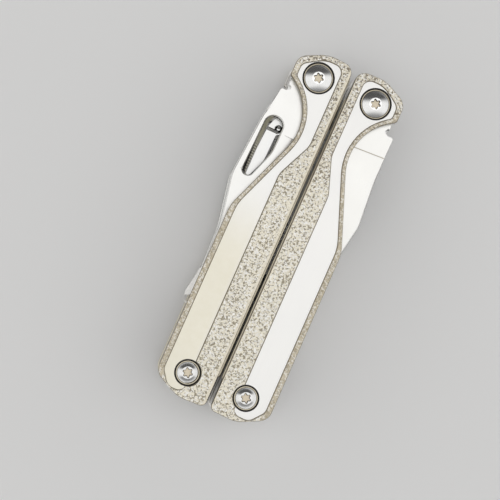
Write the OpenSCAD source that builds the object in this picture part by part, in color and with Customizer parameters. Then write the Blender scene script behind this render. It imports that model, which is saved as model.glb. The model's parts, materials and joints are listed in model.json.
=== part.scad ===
// Folding plier multi tool, closed: two handles side by side, the plier noses shut between them.
// The seam between the handles is x = 0, the middle of the length is y = 0 and the head end is +Y.
// The rear scales lie on z = 0 and the front scales face +Z. Lengths are in millimetres.

/* [Whole tool] */
// Length of the closed tool
closed_len = 101.6; // [100:0.2:104]
// Distance of the bolt centres from the nearest end of the handle
bolt_inset = 6.9; // [6.7:0.1:7.2]
// Distance between the two head bolts
bolt_gap = 17.2; // [17:0.1:17.6]
// Gap between the two handles
seam_gap = 1.5; // [1.2:0.1:1.8]
// Width of one handle over its tail half
handle_w = 15.85; // [15.7:0.05:16.2]
// Radius of the inner corner at the head, which swings past the other handle
head_corner_r = 2.9; // [2.8:0.1:3.4]
// How far the lobe round the head bolt stays inside the tail half's edge
lobe_inset = 0.6; // [0.4:0.1:0.8]

/* [Layers] */
// Inner width of the handle's U channel
channel_w = 8; // [7.8:0.1:8.6]
// Sheet thickness of the U channel
frame_t = 1.1; // [1:0.1:1.3]
// Thickness of the four outer blades
blade_t = 2.5; // [2.2:0.1:2.8]
// Running gap on each side of a blade
blade_play = 0.05; // [0.04:0.01:0.1]
// Thickness of the lock liners
liner_t = 1; // [0.8:0.1:1.2]
// Thickness of the titanium scales
scale_t = 1.5; // [1.4:0.1:1.8]

/* [Thumb cut in the scales] */
// Radius of the cut that bares the blades beside the bolts
cut_r = 15; // [14.5:0.1:15.5]
// Distance of the cut's centre outside the handle's outer edge
cut_out = 6.2; // [6:0.1:6.6]
// Drop of the cut's centre below the head bolts
cut_drop = 15.7; // [15.4:0.1:16]
// Angle of the straight flank below the cut
flank_angle = 20.9; // [20:0.1:22]
// Sweep of the cut above its centre
cut_top = 59; // [57:0.5:60]

/* [Pocket in the scales] */
// Depth of the smooth pocket
pocket_depth = 0.45; // [0.3:0.05:0.6]
// Width of the raised border along the outer edge
border_w = 1.6; // [1.4:0.1:1.8]
// Width of the raised border round the thumb cut
cut_border_w = 1.15; // [1:0.05:1.4]
// Pocket edge by the bolts, from the seam's middle
pocket_head_x = 3.3; // [3:0.1:3.6]
// Pocket edge of the left scales' tail half, from the seam's middle
pocket_left_x = 7.8; // [7.4:0.1:8]
// Pocket edge of the right scales' tail half, from the seam's middle
pocket_right_x = 6.9; // [6.6:0.1:7.4]

/* [Bolts] */
// Radius of the head bolts' barrel, which every part at the head turns on
head_barrel_r = 2.7; // [2.6:0.05:2.8]
// Radius of the tail bolts' barrel, which the inner tools turn on
tail_barrel_r = 2.2; // [2.1:0.05:2.3]
// Radius of the screw inside a head barrel
head_screw_r = 1.9; // [1.8:0.05:2]
// Radius of the screw inside a tail barrel
tail_screw_r = 1.5; // [1.4:0.05:1.6]
// Radius of a head bolt's domed head
head_cap_r = 4.2; // [4.1:0.05:4.3]
// Radius of a tail bolt's domed head
tail_cap_r = 3.4; // [3.3:0.05:3.6]
// Gap round a bolt head in its counterbore
cap_gap = 0.25; // [0.2:0.05:0.3]
// Height of the lip that a bolt head sits on
lip_t = 0.5; // [0.4:0.05:0.6]
// Depth of a domed head's crown below the scale's face
cap_sink = 0.1; // [0.05:0.05:0.2]
// Radial clearance of a hole that turns on a barrel
turn_gap = 0.05; // [0.04:0.01:0.08]
// Radial clearance of a hole that is clamped
clamp_gap = 0.03; // [0.02:0.01:0.04]

/* [Outer blades] */
// Radius of a blade's tang round its bolt
tang_r = 6.6; // [6.4:0.1:6.7]
// Drop of the heel step below the bolt
heel_drop = 6.3; // [6:0.1:6.6]
// Length of the knives from bolt to tip
knife_len = 74; // [72:0.5:75]
// How far the knives' hump stands outside the handle
knife_hump = 3.3; // [3:0.1:3.5]
// Drop of the knives' hump below the bolt
knife_hump_drop = 33; // [32:0.5:34]
// Cutting edge of the knives, from the seam's middle
knife_edge_x = 4.6; // [4.4:0.1:5]
// How far the saw's and the file's hump stands outside the handle
saw_hump = 1.7; // [1.5:0.1:2]
// Drop of the saw's and the file's hump below the bolt
saw_hump_drop = 32.6; // [32:0.2:34]
// Length of the saw and the file from bolt to end
saw_len = 73; // [71:0.5:75]
// Toothed edge of the saw, from the seam's middle
saw_edge_x = 6.4; // [6:0.1:7]
// Pitch of the saw's teeth
tooth_pitch = 2.2; // [2:0.1:2.6]
// Depth of the saw's teeth
tooth_depth = 1.3; // [1.1:0.1:1.5]
// Pitch of the file's cuts
file_pitch = 2; // [1.8:0.1:2.4]
// Depth of the file's cuts
file_depth = 0.25; // [0.2:0.05:0.35]
// Pitch of the serrations
scallop_pitch = 3.2; // [3:0.1:3.6]
// Radius of the serrations
scallop_r = 1.7; // [1.5:0.1:1.8]

/* [Pliers] */
// Drop of the plier pivot below the head bolts
pivot_drop = 17.7; // [17.4:0.1:18]
// Radius of the half-lap hub of each jaw
hub_r = 6.8; // [6.6:0.1:7]
// Radius of the plier rivet
rivet_r = 2.6; // [2.5:0.05:2.8]
// Length of the noses from the pivot to the tip
nose_len = 37; // [36:0.5:37.5]
// Width of one nose at the hub
nose_root_w = 5.2; // [5:0.1:5.4]
// Width of one nose at the tip
nose_tip_w = 2.2; // [2:0.1:2.4]
// Thickness of the pliers at the tip
tip_t = 3.4; // [3.2:0.1:4]
// Gap on each side of the pliers in the channel
jaw_play = 0.15; // [0.12:0.01:0.2]
// Radius of the eye of each jaw round its handle bolt
eye_r = 5.4; // [5.2:0.1:5.6]
// Wall of the sleeve between a handle bolt and a jaw's eye
sleeve_wall = 0.8; // [0.7:0.05:0.9]
// Gap between the shut noses
bite_gap = 0.1; // [0.08:0.02:0.2]
// Depth of the grooves on the noses' gripping faces
grip_depth = 0.4; // [0.3:0.05:0.5]
// Pitch of the grooves on the noses' gripping faces
grip_pitch = 1.2; // [1.1:0.1:1.4]

/* [Inner tools] */
// Radius of an inner tool's tang round the tail bolt
tool_tang_r = 4.4; // [4.2:0.1:4.5]
// Gap between neighbours on the tail bolts
stack_gap = 0.1; // [0.08:0.01:0.12]
// Thickness of the scissors' fixed blade
scissor_t = 1.9; // [1.8:0.1:2]
// Thickness of the scissors' spring arm
scissor_arm_t = 1.6; // [1.5:0.1:1.7]
// Radius of the scissors' rivet
scissor_rivet_r = 1.1; // [1:0.05:1.2]
// Thickness of the small bit driver
small_driver_t = 2.9; // [2.8:0.1:3]
// Thickness of the large bit driver
large_driver_t = 3.9; // [3.8:0.1:4]
// Thickness of the can and bottle opener
opener_t = 2; // [1.8:0.1:2]
// Thickness of the lanyard ring
ring_t = 1.2; // [1:0.1:1.3]
// Radius of the hole in the lanyard ring
ring_hole_r = 2; // [1.8:0.1:2.1]
// Rim of the lanyard ring round its hole
ring_rim = 1.3; // [1.2:0.1:1.5]
// Distance of the lanyard hole from the tail bolt
ring_reach = 9.1; // [8.8:0.1:9.4]
// Reach of the bit drivers from the tail bolt
driver_reach = 28; // [27:0.5:29]
// Reach of the scissors from the tail bolt
scissor_reach = 42; // [41:0.5:44]
// Distance of the scissors' rivet from the tail bolt
scissor_rivet_rise = 21; // [20:0.5:22]
// Distance of the scissors' rivet from the seam's middle
scissor_x = 10.6; // [10.2:0.1:11]
// Reach of the can and bottle opener from the tail bolt
opener_reach = 38; // [37:0.5:40]
// Width of the large bit
large_bit_w = 5; // [4.6:0.1:5.2]
// Thickness of the large bit
large_bit_t = 2.6; // [2.4:0.1:2.8]
// Width of the small bit
small_bit_w = 3.8; // [3.6:0.1:4]
// Thickness of the small bit
small_bit_t = 1.7; // [1.6:0.1:1.8]
// Gap round a bit in its driver
bit_gap = 0.08; // [0.06:0.01:0.1]
// How far a bit reaches into its driver
bit_seat = 12; // [11:0.5:13]
// How far a bit stands out of its driver
bit_out = 8; // [7:0.5:8.5]

/* [Hidden] */

// Half the tool's thickness and the layers counted out from its middle plane
wall_in = channel_w / 2;
wall_out = wall_in + frame_t;
blade_in = wall_out + blade_play;
liner_in = wall_out + blade_t + 2 * blade_play;
liner_out = liner_in + liner_t;
half_t = liner_out + scale_t;

// Main stations along and across the tool
head_y = closed_len / 2;
tail_y = -closed_len / 2;
bolt_x = bolt_gap / 2;
bolt_y = head_y - bolt_inset;
tail_bolt_y = tail_y + bolt_inset;
seam_x = seam_gap / 2;
outer_x = seam_x + handle_w;
lobe_x = outer_x - lobe_inset;
cut_x = outer_x + cut_out;
cut_y = bolt_y - cut_drop;

// Small rounding used on sheet-metal corners, and a margin for cuts that run right through
nick = 0.6;
over = 1;
// Rise of the corner whose rounding makes each end of a handle, and the finest step of an arc
end_crown = 0.14;
arc_step = 6;

function down(drop) = bolt_y - drop;
function up(rise) = tail_bolt_y + rise;
function unit(v) = v / norm(v);
function polar(r, a) = r * [cos(a), sin(a)];

// Arc that rounds one corner [x, y, r] of an outline
function corner_arc(before, corner, after) =
  let (
    at = [corner[0], corner[1]],
    u = unit([before[0], before[1]] - at),
    v = unit([after[0], after[1]] - at),
    half = acos(u * v) / 2,
    centre = at + unit(u + v) * corner[2] / sin(half),
    start = at + u * corner[2] / tan(half) - centre,
    finish = at + v * corner[2] / tan(half) - centre,
    first = atan2(start[1], start[0]),
    turn = (atan2(finish[1], finish[0]) - first + 540) % 360 - 180,
    steps = max(1, ceil(abs(turn) / arc_step))
  )
  [for (i = [0:steps]) centre + polar(corner[2], first + turn * i / steps)];

// Outline with every corner [x, y, r] rounded to its own radius
function rounded(c) = [for (i = [0:len(c) - 1])
  each corner_arc(c[(i + len(c) - 1) % len(c)], c[i], c[(i + 1) % len(c)])];

// The thumb cut's arc as one corner, and where its two tangents meet an upright line
function cut_corner(grow) =
  let (half = (flank_angle + cut_top) / 2, middle = 180 + (flank_angle - cut_top) / 2)
  concat([cut_x, cut_y] + polar((cut_r + grow) / cos(half), middle), [cut_r + grow]);
function flank_y(x, grow) =
  let (touch = [cut_x, cut_y] + polar(cut_r + grow, 180 + flank_angle))
  touch[1] - (x - touch[0]) / tan(flank_angle);
function lobe_y(x, grow) =
  let (touch = [cut_x, cut_y] + polar(cut_r + grow, 180 - cut_top))
  touch[1] + (x - touch[0]) / tan(cut_top);

// Outline of a scale or liner, drawn in by an amount
function handle_outline(inset) = rounded([
  [seam_x + inset, head_y - 0.2 - inset, head_corner_r],
  [bolt_x, head_y + end_crown - inset, 9],
  [lobe_x - inset, head_y - 3.5 - inset, 3.5],
  [lobe_x - inset, lobe_y(lobe_x - inset, inset), 0.9],
  cut_corner(inset),
  [outer_x - inset, flank_y(outer_x - inset, inset), 12],
  [outer_x - inset, tail_y + 3.8 + inset, 4],
  [bolt_x, tail_y - end_crown + inset, 9],
  [seam_x + inset, tail_y + 0.2 + inset, 1.6]]);

// Outline of the smooth pocket, whose tail half starts at low_x
function pocket_outline(low_x) = rounded([
  [pocket_head_x, head_y - border_w, 2.4],
  [bolt_x, head_y + end_crown - border_w, 7],
  [lobe_x - border_w, head_y - 3.5 - border_w, 2.4],
  [lobe_x - border_w, lobe_y(lobe_x - border_w, cut_border_w), 1.4],
  cut_corner(cut_border_w),
  [outer_x - border_w, flank_y(outer_x - border_w, cut_border_w), 12],
  [outer_x - border_w, tail_y + 3.8 + border_w, 3],
  [(outer_x + low_x) / 2, tail_y - end_crown + border_w, 3],
  [low_x, tail_y + border_w, 2],
  [low_x, down(28.4), 6],
  [pocket_head_x, down(18.2), 6]]);

// Placement of the right-hand, front-facing drawings on the other sides
module left() mirror([1, 0, 0]) children();
module front() translate([0, 0, half_t]) children();
module rear() translate([0, 0, half_t]) mirror([0, 0, 1]) children();
module plate(outline, low, high) translate([0, 0, low]) linear_extrude(high - low) polygon(outline);
module rod(x, y, r, low, high) translate([x, y, low]) cylinder(r = r, h = high - low, $fn = 64);

// Titanium scale: textured border, smooth pocket and two counterbores
module scale_plate(low_x) {
  difference() {
    plate(handle_outline(0), liner_out, half_t);
    plate(pocket_outline(low_x), half_t - pocket_depth, half_t + over);
    rod(bolt_x, bolt_y, head_cap_r + cap_gap, liner_out + lip_t, half_t + over);
    rod(bolt_x, bolt_y, head_barrel_r + clamp_gap, liner_out - over, half_t);
    rod(bolt_x, tail_bolt_y, tail_cap_r + cap_gap, liner_out + lip_t, half_t + over);
    rod(bolt_x, tail_bolt_y, tail_barrel_r + clamp_gap, liner_out - over, half_t);
  }
}

// Steel liner: the slot frees the arm that locks the open blade
lock_slot_w = 0.8;
lock_arm_w = 4;
module liner_plate() {
  slot_x = seam_x + nick + lock_arm_w;
  difference() {
    plate(handle_outline(0.3), liner_in, liner_out);
    plate(rounded([[slot_x, down(9.5), 0.3], [slot_x + lock_slot_w, down(9.5), 0.3],
      [slot_x + lock_slot_w, down(62), 0.3], [slot_x, down(62), 0.3]]), liner_in - over, liner_out + over);
    plate([[seam_x, down(8.6)], [slot_x + lock_slot_w / 2, down(8.6)],
      [slot_x + lock_slot_w / 2, down(9.5)], [seam_x, down(9.5)]], liner_in - over, liner_out + over);
    rod(bolt_x, bolt_y, head_barrel_r + clamp_gap, liner_in - over, liner_out + over);
    rod(bolt_x, tail_bolt_y, tail_barrel_r + clamp_gap, liner_in - over, liner_out + over);
  }
}

// Folded steel channel: two walls joined by a web along the outer edge
web_x = outer_x - 0.4;
web_low_y = up(13);
web_high_y = down(33);
leaf_gap = 0.8;
leaf_drop = 17.2;
leaf_x = bolt_x + 3.8;
function wall_outline() = rounded([
  [seam_x + 0.2, head_y - 0.5, 1.6],
  [bolt_x, head_y - 0.1, 9],
  [lobe_x - 0.6, head_y - 4, 3.5],
  [lobe_x - 0.6, down(4), 2],
  [web_x - 2.2, down(9), 3],
  [web_x - 1.6, down(13.6), 2],
  [web_x - 0.4, down(17), 1.5],
  [web_x, down(24), 12],
  [web_x, tail_y + 4, 4],
  [bolt_x, tail_y + 0.1, 9],
  [seam_x + 0.2, tail_y + 0.5, 1.6]]);
module frame_wall() {
  difference() {
    plate(wall_outline(), wall_in, wall_out);
    plate(rounded([[bolt_x + 0.9, down(leaf_drop + 1), 1.5], [bolt_x + 4.1, down(leaf_drop + 1), 0.8],
      [bolt_x + 4.3, down(leaf_drop + 9.3), 6], [bolt_x + 6.6, down(leaf_drop + 15), 0.8],
      [bolt_x + 2.9, down(leaf_drop + 15.8), 1.5]]), wall_in - over, wall_out + over);
    plate(rounded([[leaf_x, down(leaf_drop), 0.3], [web_x + 3, down(leaf_drop), 0.3],
      [web_x + 3, down(leaf_drop + leaf_gap), 0.3], [leaf_x, down(leaf_drop + leaf_gap), 0.3]]),
      wall_in - over, wall_out + over);
    rod(leaf_x + 0.5, down(leaf_drop - 1.1), 0.45, wall_in - over, wall_out + over);
    rod(bolt_x, bolt_y, head_barrel_r + clamp_gap, wall_in - over, wall_out + over);
    rod(bolt_x, tail_bolt_y, tail_barrel_r + clamp_gap, wall_in - over, wall_out + over);
  }
}
module frame() {
  frame_wall();
  mirror([0, 0, 1]) frame_wall();
  translate([web_x - frame_t, web_low_y, -wall_out])
    cube([frame_t, web_high_y - web_low_y, 2 * wall_out]);
}

// Steel blocks that fill the blade layers behind the blades' tips and wrap the tail bolts
block_gap = 3;
block_wall = 1;
function block_top_y(blade_len) = max(down(blade_len + block_gap), up(tail_barrel_r + block_wall));
function block_outline(top_y) = rounded([
  [seam_x + 0.5, top_y, 1],
  [outer_x - 0.5, top_y, 1],
  [outer_x - 0.5, tail_y + 4.2, 4],
  [bolt_x, tail_y + 0.2, 9],
  [seam_x + 0.5, tail_y + 0.7, 1.6]]);
module tail_block(blade_len) {
  difference() {
    plate(block_outline(block_top_y(blade_len)), wall_out, liner_in);
    rod(bolt_x, tail_bolt_y, tail_barrel_r + clamp_gap, wall_out - over, liner_in + over);
  }
}

// Leaf spring on the web whose free end presses on the inner tools' tangs
spring_t = 1;
spring_half_w = 2.1;
module tool_spring() {
  spring_x = web_x - frame_t - spring_t;
  hook_x = bolt_x + tool_tang_r + 0.1;
  translate([0, 0, -wall_in + 0.05])
    linear_extrude(wall_in + spring_half_w)
      polygon([[spring_x, up(46)], [spring_x + spring_t, up(46)], [spring_x + spring_t, up(9)],
        [hook_x + spring_t, up(1.5)], [hook_x, up(1.5)], [hook_x, up(2.5)], [spring_x, up(10)]]);
}

// Domed six-lobe cap of a bolt or nut, sitting on the scale's lip
socket_r = 1.25;
socket_depth = 1.1;
module cap(r) {
  seat = liner_out + lip_t;
  crown = half_t - cap_sink;
  rim = crown - 0.45;
  difference() {
    rotate_extrude($fn = 96)
      polygon(concat([[0, seat], [r, seat], [r, rim - 0.1], [r - 0.25, rim]],
        [for (k = [0:4]) [(r - 0.45) * cos(k * 18), rim - 0.1 + (crown - rim + 0.1) * sin(k * 18)]],
        [[0, crown]]));
    translate([0, 0, crown - socket_depth]) linear_extrude(socket_depth + over) {
      circle(r = socket_r, $fn = 48);
      for (k = [0:5]) rotate(k * 60) translate([socket_r, 0]) circle(r = 0.34, $fn = 24);
    }
  }
}

// Screw from the front and barrel nut from the rear
screw_deep = 5;
module bolt(y, cap_r, screw_r) {
  translate([bolt_x, y, 0]) cap(cap_r);
  rod(bolt_x, y, screw_r, -screw_deep, liner_out + lip_t);
}
module nut(y, cap_r, barrel_r, screw_r) {
  translate([bolt_x, y, 0]) mirror([0, 0, 1]) cap(cap_r);
  difference() {
    rod(bolt_x, y, barrel_r, -liner_out - lip_t, liner_out + lip_t - blade_play);
    rod(bolt_x, y, screw_r + clamp_gap, -screw_deep - 0.2, liner_out + lip_t + over);
  }
}

// Blank of the outer blades: tang, heel step, humped spine and an edge under the scale
module blade(outline) {
  difference() {
    plate(outline, blade_in, blade_in + blade_t);
    rod(bolt_x, bolt_y, head_barrel_r + turn_gap, blade_in - over, blade_in + blade_t + over);
    rod(bolt_x + tang_r - 0.2, down(heel_drop - 1), 0.7, blade_in - over, blade_in + blade_t + over);
  }
}

// Ground wedge taken off one face of a blade along its edge
edge_land = 0.15;
module grind(edge_x, width, high_y, low_y) {
  middle = blade_in + blade_t / 2;
  for (face = [-1, 1])
    translate([0, high_y, middle]) rotate([90, 0, 0]) linear_extrude(high_y - low_y)
      polygon([[edge_x - over, face * edge_land], [edge_x, face * edge_land],
        [edge_x + width, face * (blade_t / 2 + 0.01)], [edge_x - over, face * (blade_t / 2 + 0.01)]]);
}

knife_top = [[bolt_x + tang_r, bolt_y + tang_r, tang_r * 0.99],
  [bolt_x + tang_r, down(heel_drop), 0.2],
  [outer_x + 0.1, down(heel_drop), 0.5],
  [outer_x + knife_hump * 0.6, down(15), 30],
  [outer_x + knife_hump, down(knife_hump_drop), 12],
  [outer_x + 0.5, down(knife_hump_drop + 14.5), 14]];
knife_heel = [[knife_edge_x, down(17), 0.6],
  [knife_edge_x + 1.6, down(15.6), 0.8],
  [bolt_x - tang_r, down(9), 3],
  [bolt_x - tang_r, bolt_y + tang_r, tang_r * 0.99]];
function thumb_hole() = rounded([
  [11.9, down(14.1), 2.5], [17, down(14.1), 2.5], [17.5, down(32), 1.3],
  [15, down(32), 1.5], [12, down(23.5), 9]]);

module knife_shape() {
  difference() {
    blade(rounded(concat(knife_top, [[outer_x - 0.2, down(knife_len - 10), 30],
      [13.4, down(knife_len), 0.6], [knife_edge_x, down(knife_len - 15), 18]], knife_heel)));
    plate(thumb_hole(), blade_in - over, blade_in + blade_t + over);
    grind(knife_edge_x, 6.4, down(18), down(knife_len + 1));
  }
}

module serrated_shape() {
  edge_low = knife_len - 6;
  difference() {
    blade(rounded(concat(knife_top, [[outer_x + 0.2, down(58), 6], [outer_x + 2.2, down(61.5), 0.8],
      [outer_x + 1.6, down(67), 1.6], [outer_x - 3.5, down(knife_len), 3],
      [knife_edge_x, down(edge_low), 2]], knife_heel)));
    plate(thumb_hole(), blade_in - over, blade_in + blade_t + over);
    plate(rounded([[outer_x - 1.6, down(64.2), 1], [outer_x + 3, down(66.2), 0.3],
      [outer_x + 3, down(68), 0.3], [outer_x - 2, down(66.8), 1]]),
      blade_in - over, blade_in + blade_t + over);
    grind(knife_edge_x, 5, down(18), down(edge_low));
    for (y = [down(20):-scallop_pitch:down(edge_low - 4)])
      rod(knife_edge_x - 0.6, y, scallop_r, blade_in - over, blade_in + blade_t + over);
  }
}

function saw_outline(edge_x) = rounded([
  [bolt_x + tang_r, bolt_y + tang_r, tang_r * 0.99],
  [bolt_x + tang_r, down(heel_drop), 0.2],
  [outer_x + 0.5, down(heel_drop), 0.5],
  [outer_x + 0.7, down(20), 30],
  [outer_x + saw_hump, down(saw_hump_drop), 8],
  [outer_x, down(42.5), 10],
  [outer_x - 0.3, down(saw_len), 1.2],
  [edge_x + 3, down(saw_len), 2],
  [edge_x, down(saw_len - 6), 2],
  [edge_x, down(17), 1],
  [bolt_x - tang_r, down(11), 3],
  [bolt_x - tang_r, bolt_y + tang_r, tang_r * 0.99]]);

module saw_shape() {
  difference() {
    blade(saw_outline(saw_edge_x));
    translate([0, 0, blade_in - over]) linear_extrude(blade_t + 2 * over)
      for (y = [down(20):-tooth_pitch:down(saw_len - 8)])
        polygon([[saw_edge_x - over, y + tooth_pitch * 0.45], [saw_edge_x, y + tooth_pitch * 0.45],
          [saw_edge_x + tooth_depth, y - tooth_pitch * 0.2], [saw_edge_x, y - tooth_pitch * 0.45],
          [saw_edge_x - over, y - tooth_pitch * 0.45]]);
  }
}

module file_shape() {
  difference() {
    blade(saw_outline(saw_edge_x - 0.4));
    for (y = [down(24):-file_pitch:down(saw_len - 4)], face = [blade_in, blade_in + blade_t])
      translate([saw_edge_x - over, y, face - file_depth])
        cube([outer_x - saw_edge_x - 1, file_pitch / 2, 2 * file_depth]);
  }
}

// Pliers: two jaws that cross at the rivet by half laps, drawn for the jaw held by the left bolt
pivot_y = bolt_y - pivot_drop;
tip_y = pivot_y - nose_len;
jaw_half = wall_in - jaw_play;
lap_gap = 0.1;
rivet_head_r = rivet_r + 1.1;
rivet_head_t = 0.7;
function nose_outline() = rounded([
  [bite_gap / 2, pivot_y - 3, 0.05],
  [nose_root_w, pivot_y - 4, 2],
  [nose_root_w - 0.3, pivot_y - 13, 12],
  [nose_tip_w, tip_y, 0.8],
  [bite_gap / 2, tip_y, 0.1]]);
function tang_outline() = rounded([
  [-bolt_x - eye_r, bolt_y + eye_r, eye_r * 0.99],
  [-bolt_x + eye_r, bolt_y + eye_r, eye_r * 0.99],
  [-bolt_x + eye_r + 0.8, down(9), 4],
  [2.2, pivot_y + 4, 2],
  [-3, pivot_y, 1],
  [-bolt_x + 1.4, pivot_y + 1, 3],
  [-bolt_x - eye_r, down(9), 5]]);
module jaw_body() {
  difference() {
    union() {
      intersection() {
        plate(nose_outline(), -jaw_half, jaw_half);
        translate([-over, 0, 0]) rotate([90, 0, 90]) linear_extrude(nose_root_w + 2 * over)
          polygon([[pivot_y, jaw_half], [pivot_y - 8, jaw_half], [tip_y - over, tip_t / 2],
            [tip_y - over, -tip_t / 2], [pivot_y - 8, -jaw_half], [pivot_y, -jaw_half]]);
      }
      plate(tang_outline(), -jaw_half, jaw_half);
      rod(0, pivot_y, hub_r, lap_gap / 2, jaw_half);
    }
    rod(0, pivot_y, hub_r + 0.25, -jaw_half - over, lap_gap / 2);
    rod(0, pivot_y, rivet_r + turn_gap, -jaw_half - over, jaw_half + over);
    rod(0, pivot_y, rivet_head_r + 0.1, jaw_half - rivet_head_t - 0.05, jaw_half + over);
    rod(-bolt_x, bolt_y, head_barrel_r + sleeve_wall + 2 * turn_gap, -jaw_half - over, jaw_half + over);
    for (y = [pivot_y - 22:-grip_pitch:tip_y + 1])
      translate([bite_gap / 2, y, -jaw_half]) cylinder(r = grip_depth, h = 2 * jaw_half, $fn = 4);
  }
}
module pivot_sleeve() {
  difference() {
    rod(bolt_x, bolt_y, head_barrel_r + sleeve_wall + turn_gap, -wall_in + blade_play, wall_in - blade_play);
    rod(bolt_x, bolt_y, head_barrel_r + turn_gap, -wall_in - over, wall_in + over);
  }
}
module rivet() {
  rod(0, pivot_y, rivet_r, -jaw_half, jaw_half);
  for (face = [-1, 1]) scale([1, 1, face]) rod(0, pivot_y, rivet_head_r, jaw_half - rivet_head_t, jaw_half);
}

// Inner tools: every tool has a tang on a tail bolt and lies along the channel
tool_x = bolt_x + 1.75;
tool_max_x = web_x - frame_t - spring_t - 0.15;
module tool_tang(low, high) rod(bolt_x, tail_bolt_y, tool_tang_r, low, high);
module tool_bore(low, high) rod(bolt_x, tail_bolt_y, tail_barrel_r + turn_gap, low - over, high + over);

// Left channel, from the rear: small driver, fixed scissor blade, sprung scissor arm, washers
small_low = -wall_in + stack_gap;
small_high = small_low + small_driver_t;
scissor_low = small_high + stack_gap;
scissor_high = scissor_low + scissor_t;
arm_low = scissor_high + stack_gap;
arm_high = arm_low + scissor_arm_t;
scissor_y = up(scissor_rivet_rise);
module scissor_blade_shape() {
  difference() {
    union() {
      tool_tang(scissor_low, scissor_high);
      plate(rounded([[bolt_x - 2, up(0), 1], [bolt_x - 2, up(10), 2], [scissor_x - 2.6, scissor_y - 4, 2],
        [scissor_x - 2.6, scissor_y + 3, 2], [scissor_x + 0.4, scissor_y + 9, 5],
        [scissor_x + 2.5, up(scissor_reach + 0.4), 0.4], [tool_max_x, up(scissor_reach - 1), 1],
        [tool_max_x, scissor_y - 5, 3], [bolt_x + 4, up(4), 3], [bolt_x + 3, up(0), 1]]),
        scissor_low, scissor_high);
    }
    tool_bore(scissor_low, scissor_high);
    rod(scissor_x, scissor_y, scissor_rivet_r + clamp_gap, scissor_low - over, scissor_high + over);
  }
}
grip_x = bolt_x - 5;
module scissor_arm_shape() {
  difference() {
    plate(rounded([[grip_x, up(7.5), 1.4], [grip_x, up(13), 6], [scissor_x - 2.4, scissor_y, 3],
      [scissor_x - 1.6, scissor_y + 6, 4], [scissor_x + 1, up(scissor_reach), 0.4],
      [scissor_x + 2, up(scissor_reach - 0.4), 0.5], [scissor_x + 2.6, scissor_y + 7, 4],
      [scissor_x + 2.8, scissor_y - 2, 2.5], [bolt_x + 0.2, up(13), 4], [grip_x + 3, up(7), 1.4]]),
      arm_low, arm_high);
    rod(scissor_x, scissor_y, scissor_rivet_r + turn_gap, arm_low - over, arm_high + over);
  }
}
module scissor_rivet_shape() {
  rod(scissor_x, scissor_y, scissor_rivet_r, scissor_low, arm_high);
  rod(scissor_x, scissor_y, scissor_rivet_r + 0.8, arm_high + 0.05, arm_high + 0.35);
  rod(scissor_x, scissor_y, scissor_rivet_r, arm_high - 0.1, arm_high + 0.1);
}
module scissor_spring_shape() {
  leaf = 0.5;
  plate([[bolt_x + 0.6, up(9)], [bolt_x + 3.7, up(17)], [bolt_x + 3.7 + leaf, up(17)],
    [bolt_x + 0.6 + leaf, up(9)], [bolt_x - 1, up(6.2)], [bolt_x - 1.4, up(6.2 + leaf)]],
    arm_low, arm_high - 0.2);
}

// Bit driver: a shank with a socket that a flat bit slides into, and the bit itself
module driver(shank_w, low, high, reach, bit_w, bit_t) {
  middle = (low + high) / 2;
  difference() {
    union() {
      tool_tang(low, high);
      plate(rounded([[tool_x - shank_w / 2, up(-1), 1], [tool_x - shank_w / 2, up(reach), 0.8],
        [tool_x + shank_w / 2, up(reach), 0.8], [tool_x + shank_w / 2, up(9), 4], [bolt_x + 4.2, up(3), 1],
        [bolt_x + 3, up(-1), 1]]), low, high);
    }
    tool_bore(low, high);
    translate([tool_x - bit_w / 2 - bit_gap, up(reach - bit_seat) - bit_gap, middle - bit_t / 2 - bit_gap])
      cube([bit_w + 2 * bit_gap, bit_seat + over, bit_t + 2 * bit_gap]);
  }
}
module bit(reach, low, high, bit_w, bit_t) {
  middle = (low + high) / 2;
  root_y = up(reach - bit_seat);
  end_y = up(reach + bit_out);
  slope = bit_t / 2 - 0.35;
  intersection() {
    plate(rounded([[tool_x - bit_w / 2, root_y, 0.6], [tool_x - bit_w / 2, end_y, 0.3],
      [tool_x + bit_w / 2, end_y, 0.3], [tool_x + bit_w / 2, root_y, 0.6]]),
      middle - bit_t / 2, middle + bit_t / 2);
    translate([tool_x - bit_w, 0, middle]) rotate([90, 0, 90]) linear_extrude(2 * bit_w)
      polygon([[root_y, bit_t / 2], [end_y - 6, bit_t / 2], [end_y, bit_t / 2 - slope],
        [end_y, -bit_t / 2 + slope], [end_y - 6, -bit_t / 2], [root_y, -bit_t / 2]]);
  }
}

// Right channel, from the rear: opener, large driver, lanyard ring, washer
opener_low = -wall_in + stack_gap;
opener_high = opener_low + opener_t;
large_low = opener_high + stack_gap;
large_high = large_low + large_driver_t;
ring_low = large_high + stack_gap;
ring_high = ring_low + ring_t;
module opener_shape() {
  hook_y = up(opener_reach - 18);
  difference() {
    union() {
      tool_tang(opener_low, opener_high);
      plate(rounded([[bolt_x - 3.6, up(0), 1], [bolt_x - 3.4, up(10), 4],
        [bolt_x - 4.2, up(opener_reach - 22), 2.5], [bolt_x - 4.4, up(opener_reach - 13), 1.5],
        [bolt_x - 2.4, up(opener_reach - 6.5), 0.6], [bolt_x + 1.2, up(opener_reach - 2.5), 1.5],
        [bolt_x + 3.8, up(opener_reach + 0.5), 0.6], [tool_max_x, up(opener_reach - 2), 1.5],
        [tool_max_x, up(12), 4], [bolt_x + 3.8, up(3), 2], [bolt_x + 3, up(0), 1]]), opener_low, opener_high);
    }
    tool_bore(opener_low, opener_high);
    plate(rounded([[seam_x, hook_y - 2.5, 0.4], [bolt_x, hook_y - 0.5, 2.6], [bolt_x + 0.4, hook_y + 6, 1.5],
      [bolt_x - 2.2, hook_y + 6.6, 0.8], [bolt_x - 3, hook_y + 3, 1], [seam_x, hook_y + 2.4, 0.4]]),
      opener_low - over, opener_high + over);
  }
}

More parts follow.
